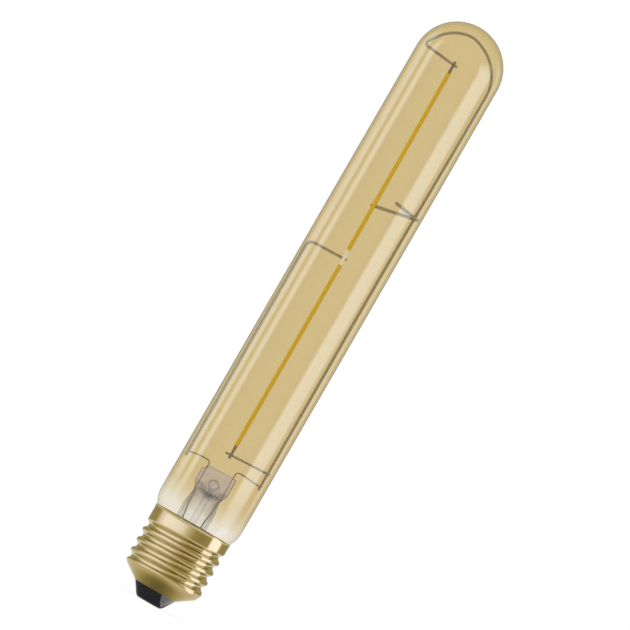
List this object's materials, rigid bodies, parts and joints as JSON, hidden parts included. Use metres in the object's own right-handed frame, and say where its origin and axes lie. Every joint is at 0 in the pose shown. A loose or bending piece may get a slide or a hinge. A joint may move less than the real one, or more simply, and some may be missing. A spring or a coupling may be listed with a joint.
{
  "type": "tubular light bulb",
  "caption": "Long tubular filament-style lamp: amber glass tube with a domed end, filament strips held end to end on support wires, and a rolled brass screw cap.",
  "frame": {"origin": "middle of the flat end face of the centre contact, the lowest point of the upright lamp", "axes": "+Z along the lamp's axis from the cap to the dome; X across the plane of the support wires; -Y the side seen from the front"},
  "size_m": [0.029, 0.029, 0.2074],
  "materials": {
    "amber_glass": "clear amber tint, smooth blown glass",
    "clear_glass": "clear lead-free stem glass",
    "cap_brass": "rolled brass, lightly lacquered",
    "black_glass": "opaque black insulating glass, moulded",
    "contact_metal": "pressed nickel-plated contact",
    "cement": "baked capping cement",
    "support_wire": "drawn nickel-plated wire",
    "lead_wire": "drawn sealing wire",
    "strip_ceramic": "filament strip",
    "emitter_die": "light-emitting dies",
    "phosphor_coat": "cast silicone filled with phosphor",
    "tab_metal": "stamped end tabs",
    "board_laminate": "glass-fibre board with lacquer",
    "can_aluminium": "rolled can",
    "bung_rubber": "moulded bung",
    "tinned_wire": "tinned wire",
    "resistor_coat": "baked coat of a wire-wound fuse resistor",
    "solder": "solder",
    "chip_resin": "moulded chip resin",
    "chip_ceramic": "chip resistor body"
  },
  "bodies": {
    "root": {"anchor_wire": "support_wire", "bleed_resistor": "chip_ceramic", "board_solder": "solder", "bridge_rectifier": "chip_resin", "cap_insulator": "black_glass", "cap_shell": "cap_brass", "capacitor_bung": "bung_rubber", "capacitor_can": "can_aluminium", "capacitor_pins": "tinned_wire", "capping_cement": "cement", "centre_contact": "contact_metal", "centre_feed_lead": "tinned_wire", "centre_solder": "solder", "cross_wire": "support_wire", "driver_board": "board_laminate", "driver_chip": "chip_resin", "exhaust_tube": "clear_glass", "fuse_board_lead": "tinned_wire", "fuse_resistor": "resistor_coat", "glass_envelope": "amber_glass", "glass_stem": "clear_glass", "left_inner_lead": "lead_wire", "left_outer_lead": "lead_wire", "left_support_wire": "support_wire", "lower_filament_coat": "phosphor_coat", "lower_filament_emitters": "emitter_die", "lower_filament_foot_tab": "tab_metal", "lower_filament_head_tab": "tab_metal", "lower_filament_strip": "strip_ceramic", "right_frame_wire": "support_wire", "right_inner_lead": "lead_wire", "right_outer_lead": "lead_wire", "sense_resistor": "chip_ceramic", "shell_feed_wire": "tinned_wire", "shell_solder": "solder", "upper_filament_coat": "phosphor_coat", "upper_filament_emitters": "emitter_die", "upper_filament_foot_tab": "tab_metal", "upper_filament_head_tab": "tab_metal", "upper_filament_strip": "strip_ceramic"}
  },
  "joints": []
}
